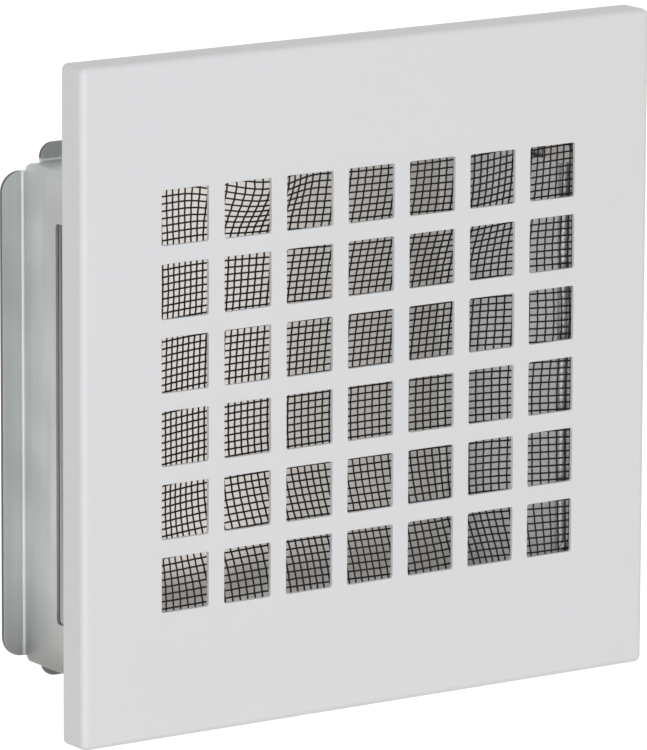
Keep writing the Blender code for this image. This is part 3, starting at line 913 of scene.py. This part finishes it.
class GRILLE_OT_studs_and_nuts(Operator):
    """Models the weld studs on the panel's back and the push-on nuts that sit on them"""

    bl_idname = "grille.studs_and_nuts"
    bl_label = "Studs and Push-on Nuts"

    def execute(self, context):
        sizes = context.scene.grille_fixings
        plate = zinc_plate(sizes)
        spring = spring_steel(sizes)
        for node, stud in self.spread(STUD_NODES, "shank_stud", self.stud, sizes):
            dress(stud, plate, "zinc_plate", "panel", node)
        for node, nut in self.spread(NUT_NODES, "toothed_nut", self.push_nut, sizes):
            dress(nut, spring, "spring_steel", "panel", node)
        return {"FINISHED"}

    def spread(self, nodes, name, model, sizes):
        """Models the first piece of each height, and copies it to the others of that height."""
        models = {}
        for number, node in enumerate(nodes, 1):
            tall = round(box_size(node).y / TINY)
            if tall in models:
                first, piece = models[tall]
                shift = box_centre(node) - box_centre(first)
                yield node, copy_to(piece, f"{name}_{number}", shift)
            else:
                models[tall] = node, model(node, f"{name}_{number}", sizes)
                yield models[tall]

    def stud(self, node, name, sizes):
        """A welded foot, a plain shank and a tapered tip."""
        size = box_size(node)
        foot = size.x / 2
        tall = size.y
        shank = sizes.stud_radius
        taper = shank / 3
        base = sizes.stud_base
        rings = [
            (foot * STUD_NECK, 0.0),
            (foot, STUD_WELD),
            (foot, base - STUD_EDGE),
            (foot - STUD_EDGE, base),
            (shank + STUD_FILLET, base),
            (shank, base + STUD_FILLET),
        ]
        rings += [(shank - taper * off, tall - taper * left) for off, left in STUD_TIP]
        stud = add_turned(name, front_centre(node), rings)
        smooth(stud)
        return stud

    def push_nut(self, node, name, sizes):
        """A dished steel disc whose middle is slit into teeth that bite the stud."""
        size = box_size(node)
        centre = front_centre(node)
        outer = size.x / 2
        bore = sizes.stud_radius + sizes.clearance
        rise = size.y - sizes.nut_sheet
        rings = [(outer * wide, rise * high) for wide, high in NUT_OUTLINE] + [(bore, rise)]
        nut = add_turned(name, centre, rings, filled=False)
        with editing(nut):
            bpy.ops.mesh.select_all(action="SELECT")
            bm = bmesh.from_edit_mesh(nut.data)
            if sum(face.normal.y for face in bm.faces) < 0:
                bpy.ops.mesh.flip_normals()
        thicken(nut, sizes.nut_sheet, offset=1)
        slit = Vector((sizes.nut_slit / 2, 2 * rise, outer * NUT_SLIT_REACH))
        for step in range(NUT_SLITS):
            blade = add_block("slit", centre - slit, centre + slit)
            turn_about(blade, math.pi / NUT_SLITS * step, "Y", centre)
            cut_away(nut, blade)
        soften(nut, NUT_EDGE, 1)
        return nut


class GRILLE_OT_spring_clips(Operator):
    """Bends the two spring clips that grip the mounting frame"""

    bl_idname = "grille.spring_clips"
    bl_label = "Spring Clips"

    def execute(self, context):
        sizes = context.scene.grille_fixings
        spring = spring_steel(sizes)
        right = self.bend_clip("spring_clip_right", sizes)
        left = self.mirror_clip(right)
        dress(right, spring, "spring_steel", "panel", "spring_clip_right")
        dress(left, spring, "spring_steel", "panel", "spring_clip_left")
        return {"FINISHED"}

    def mirror_clip(self, clip):
        """The other clip, a copy turned over to the panel's other side."""
        activate(clip)
        bpy.ops.object.duplicate(linked=False)
        bpy.ops.transform.mirror(constraint_axis=(True, False, False))
        mirrored = settle("bent_spring_clip_left", bpy.context.object.scale)
        with editing(mirrored):
            bpy.ops.mesh.select_all(action="SELECT")
            bpy.ops.mesh.normals_make_consistent(inside=False)
        return mirrored

    def bend_clip(self, node, sizes):
        """A strip with a foot on two studs, a long leg, a crown and a tail that turns in."""
        low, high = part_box(node)
        foot_end = high.x
        crown = low.x + sizes.clip_tail_drop + sizes.clip_sheet
        leg = crown - sizes.clip_crown
        crown_y = high.y - sizes.clip_tail
        foot_y = low.y + sizes.clip_sheet
        tail_y = high.y - CLIP_TRIM
        foot = Vector(((foot_end + leg) / 2, foot_y, (low.z + high.z) / 2))
        clip = add_sheet(
            "bent_spring_clip_right", foot, -QUARTER_TURN, foot_end - leg, high.z - low.z
        )
        with editing(clip):
            pick("EDGE", lambda edge: abs(middle(edge).x - leg) < TINY)
            extrude((0, crown_y - sizes.clip_rise - foot_y, 0))
            extrude((crown - leg, sizes.clip_rise, 0))
            extrude((-sizes.clip_tail_drop, tail_y - crown_y, 0))
            pick("EDGE", lambda edge: runs_along(edge, 2) and not edge.is_boundary)
            bpy.ops.mesh.bevel(offset=sizes.clip_bend, segments=CORNER_STEPS, affect="EDGES")
            pick("VERT", lambda vert: vert.co.x > foot_end - TINY or vert.co.y > tail_y - TINY)
            bpy.ops.mesh.bevel(offset=sizes.clip_corner, segments=CORNER_STEPS, affect="VERTICES")
        thicken(clip, sizes.clip_sheet)
        for stud in STUD_NODES:
            centre = box_centre(stud)
            if low.x < centre.x < high.x and low.z < centre.z < high.z:
                drill(clip, stud, sizes.stud_radius + sizes.clearance)
        soften(clip, CLIP_EDGE)
        return clip


class GRILLE_OT_seam_rivets(Operator):
    """Models the two rivets that close the mounting frame's lap seam"""

    bl_idname = "grille.seam_rivets"
    bl_label = "Seam Rivets"

    def execute(self, context):
        sizes = context.scene.grille_fixings
        plate = zinc_plate(sizes)
        first, second = RIVET_NODES
        rivet = self.rivet(first, sizes)
        other = copy_to(rivet, "domed_rivet_2", box_centre(second) - box_centre(first))
        dress(rivet, plate, "zinc_plate", "mounting", first)
        dress(other, plate, "zinc_plate", "mounting", second)
        return {"FINISHED"}

    def rivet(self, node, sizes):
        """A shank between two domed heads, turned along Y and then stood upright."""
        size = box_size(node)
        head = size.x / 2
        tall = size.z
        dome = [
            (head * math.cos(angle), sizes.rivet_head * math.sin(angle))
            for angle in (QUARTER_TURN * step / DOME_STEPS for step in range(DOME_STEPS))
        ]
        ends = sizes.rivet_head, tall - sizes.rivet_head
        rings = [(radius, ends[0] - height) for radius, height in reversed(dome)]
        rings += [(sizes.rivet_radius, end) for end in ends]
        rings += [(radius, ends[1] + height) for radius, height in dome]
        centre = box_centre(node)
        start = centre - Vector((0, tall / 2, 0))
        rivet = add_turned("domed_rivet_1", start, rings)
        turn_about(rivet, QUARTER_TURN, "X", centre)
        smooth(rivet)
        return rivet


class GRILLE_OT_stage(Operator):
    """Sets up the camera, the pale floor and the soft light"""

    bl_idname = "grille.stage"
    bl_label = "Stage"

    def execute(self, context):
        stage = context.scene.grille_stage
        self.set_camera(context, stage)
        self.lay_floor(stage)
        self.set_surroundings(context, stage)
        self.hang_lamps(stage)
        context.scene.view_settings.view_transform = "Standard"
        return {"FINISHED"}

    def set_camera(self, context, stage):
        """The photograph's view: from the left, a little above, through a long lens."""
        backwards = direction(stage.yaw, stage.pitch)
        turned = backwards.to_track_quat("Z", "Y").to_matrix()
        deselect()
        bpy.ops.object.camera_add(rotation=turned.to_euler())
        camera = context.object
        camera.name = "camera"
        camera.data.lens = stage.lens
        camera.rotation_euler.rotate_axis("Z", stage.roll)
        right = camera.rotation_euler.to_matrix().col[0]
        face = Vector((PANEL_CENTRE.x, PANEL_LOW.y, PANEL_CENTRE.z))
        camera.location = face + backwards * stage.distance - right * stage.aim_right
        context.scene.camera = camera

    def lay_floor(self, stage):
        """A wide plain floor that keeps the object's shadow."""
        floor = add_sheet("studio_floor", (0, 0, 0), 0, FLOOR_SIDE, FLOOR_SIDE)
        finish = Finish("floor_paper", constants={"Roughness": 0.9, "Specular IOR Level": 0.1})
        finish.link("Base Color", finish.blend(finish.seen(), stage.floor_glow, stage.floor))
        floor.data.materials.append(finish.done())

    def set_surroundings(self, context, stage):
        """Even light from all round, which the camera and the metal see as white."""
        world = bpy.data.worlds.new("white_surroundings")
        context.scene.world = world
        finish = Finish(world, "Background", {"Color": (1, 1, 1, 1)})
        finish.link("Strength", stage.ambient + (1 - stage.ambient) * finish.seen())

    def hang_lamps(self, stage):
        """A wide soft light for the object, and a light that only the floor receives."""
        flag = self.set_flag(stage)
        key_place = PANEL_CENTRE + stage.key_distance * direction(stage.key_turn, stage.key_height)
        key = self.add_lamp("soft_front_light", "AREA", key_place, PANEL_CENTRE)
        key.data.energy = stage.key
        key.data.size = stage.key_size
        front = direction(stage.yaw, stage.pitch)
        front_light = self.add_lamp("floor_front_light", "SUN", front, Vector())
        front_light.data.energy = stage.front_light
        front_light.data.angle = stage.front_spread
        floor = bpy.data.objects["studio_floor"]
        linking = front_light.light_linking
        linking.receiver_collection = self.linked("only_floor", floor, "INCLUDE")
        linking.blocker_collection = self.linked("only_flag", flag, "INCLUDE")
        key.light_linking.blocker_collection = self.linked("no_flag", flag, "EXCLUDE")

    def add_lamp(self, name, kind, place, aim):
        """A lamp at this place that shines towards the aim."""
        turned = (aim - place).to_track_quat("-Z", "Y").to_euler()
        deselect()
        bpy.ops.object.light_add(type=kind, location=place, rotation=turned)
        bpy.context.object.name = name
        return bpy.context.object

    def set_flag(self, stage):
        """A cloth flag that holds part of the floor's light off the ground behind the object."""
        place = PANEL_CENTRE + stage.flag_distance * direction(stage.yaw, stage.pitch)
        place.y += PANEL_LOW.y - PANEL_CENTRE.y
        place.z += stage.flag_rise
        size = Vector((stage.flag_width, 0, stage.flag_height))
        flag = add_sheet("light_flag", place, QUARTER_TURN, size.x, size.z)
        flag.data.materials.append(self.flag_cloth(place - size / 2, size))
        flag.visible_camera = flag.visible_diffuse = False
        flag.visible_glossy = flag.visible_transmission = False
        return flag

    def flag_cloth(self, low, size):
        """Cloth that lets less light through towards its right, and least at a fold low on it.

        Its two ends, which lean outwards, hold back nothing.
        """
        finish = Finish("flag_cloth")
        across, up = (
            (finish.axis(axis) - low[axis]) * (1 / size[axis]) for axis in (0, 2)
        )
        thin = finish.ramp(
            across, (0.161, 0.46), (0.274, 0.42), (0.387, 0.23), (0.5, 0.18), (0.613, 0.07)
        )
        end = finish.ramp(abs(across - 0.5) - 0.12 * up, (0.40, 0.0), (0.43, 1.0))
        crease = up + 0.08 * finish.noise(14 * MM, 1.0)
        fold = finish.ramp(crease, (0.10, 0.7), (0.125, 0.1), (0.16, 0.1), (0.18, 1.0))
        finish.link("Alpha", 1 - (thin * fold | end))
        return finish.done()

    @staticmethod
    def linked(name, obj, state):
        """A collection that ties a lamp to this object, or keeps it from it."""
        collection = bpy.data.collections.new(name)
        collection.objects.link(obj)
        collection.collection_objects[0].light_linking.link_state = state
        return collection


PIECES = (
    GRILLE_OT_front_panel,
    GRILLE_OT_insect_gauze,
    GRILLE_OT_clamp_ring,
    GRILLE_OT_studs_and_nuts,
    GRILLE_OT_spring_clips,
    GRILLE_OT_mounting_frame,
    GRILLE_OT_seam_rivets,
    GRILLE_OT_stage,
)
SETTINGS = {
    "grille_panel": PanelSettings,
    "grille_gauze": GauzeSettings,
    "grille_mounting": MountingSettings,
    "grille_fixings": FixingSettings,
    "grille_stage": StageSettings,
}


class GRILLE_PT_sidebar(Panel):
    """Lists the settings and the steps in the 3D view's sidebar."""

    bl_label = "Ventilation Grille"
    bl_idname = "GRILLE_PT_sidebar"
    bl_space_type = "VIEW_3D"
    bl_region_type = "UI"
    bl_category = "Grille"

    def draw(self, context):
        for group, settings in SETTINGS.items():
            column = self.layout.column(align=True)
            for name in settings.__annotations__:
                column.prop(getattr(context.scene, group), name)
        for piece in PIECES:
            self.layout.operator(piece.bl_idname)


CLASSES = (*SETTINGS.values(), *PIECES, GRILLE_PT_sidebar)


def register():
    for cls in CLASSES:
        bpy.utils.register_class(cls)
    for name, settings in SETTINGS.items():
        setattr(bpy.types.Scene, name, PointerProperty(type=settings))


def unregister():
    for name in SETTINGS:
        delattr(bpy.types.Scene, name)
    for cls in reversed(CLASSES):
        bpy.utils.unregister_class(cls)


def main():
    register()
    bpy.ops.grille.front_panel()
    bpy.ops.grille.insect_gauze()
    bpy.ops.grille.clamp_ring()
    bpy.ops.grille.studs_and_nuts()
    bpy.ops.grille.spring_clips()
    bpy.ops.grille.mounting_frame()
    bpy.ops.grille.seam_rivets()
    bpy.ops.grille.stage()


if __name__ == "__main__":
    main()
